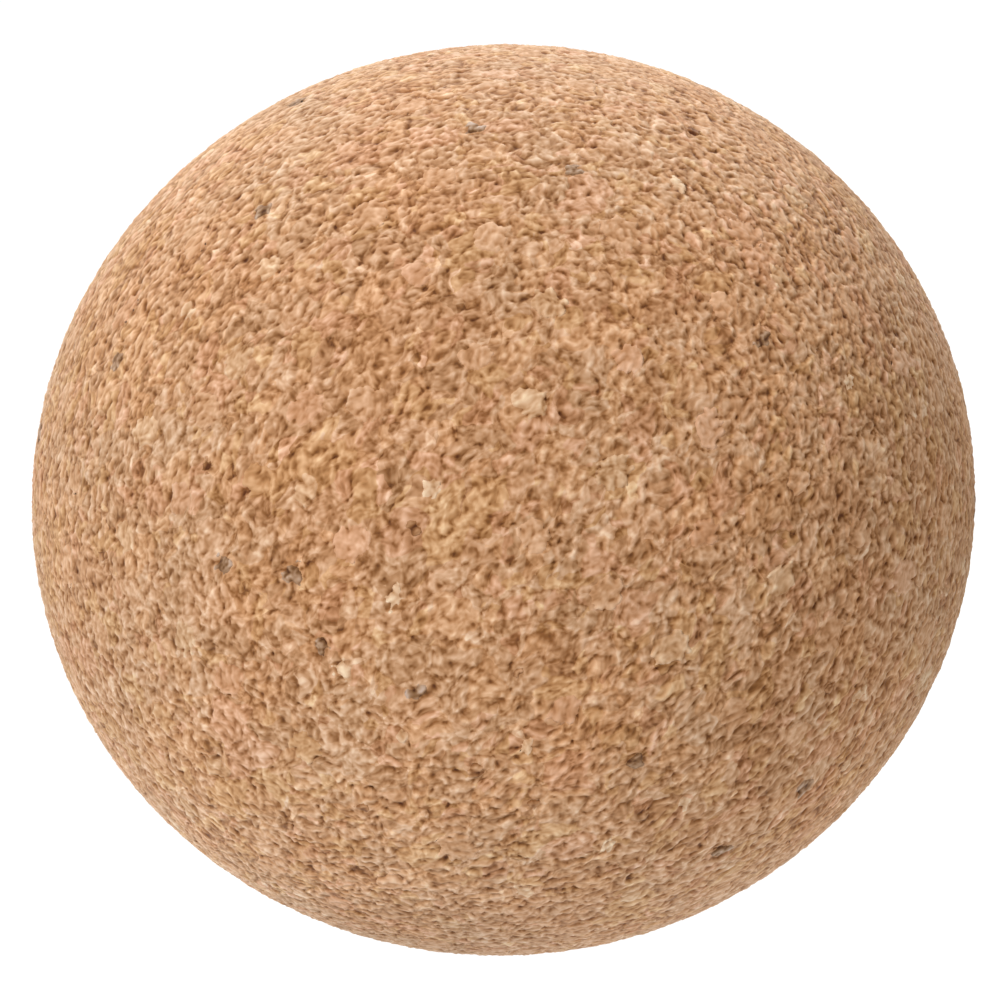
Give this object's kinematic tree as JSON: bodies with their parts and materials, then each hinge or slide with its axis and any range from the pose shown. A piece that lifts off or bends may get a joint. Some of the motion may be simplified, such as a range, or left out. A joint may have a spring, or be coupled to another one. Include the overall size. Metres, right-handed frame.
{
  "type": "massage ball",
  "caption": "Matt cork massage ball, slightly out of round, moulded and sanded from cork granules of several colours.",
  "frame": {"origin": "middle of the ball, the centre of its bounding box", "axes": "+Z is the ball's shortest axis, up as it is pictured; -Y is its front; X and Y are equal"},
  "size_m": [0.066, 0.066, 0.0636],
  "materials": {
    "cork_matrix": "matt moulded and sanded fine cork in clear binder",
    "tan_cork": "matt sanded cork",
    "pink_cork": "matt sanded cork",
    "ochre_cork": "matt sanded cork",
    "pale_cork": "matt sanded cork",
    "pale_fibre": "matt woody fibre",
    "bark": "matt dark outer bark",
    "lenticel": "matt dark brown powdery cork"
  },
  "bodies": {
    "root": {"cork_body": "cork_matrix", "tan_granules": "tan_cork", "pink_granules": "pink_cork", "ochre_granules": "ochre_cork", "pale_granules": "pale_cork", "pale_slivers": "pale_fibre", "bark_granules": "bark", "lenticel_grains": "lenticel"}
  },
  "joints": []
}
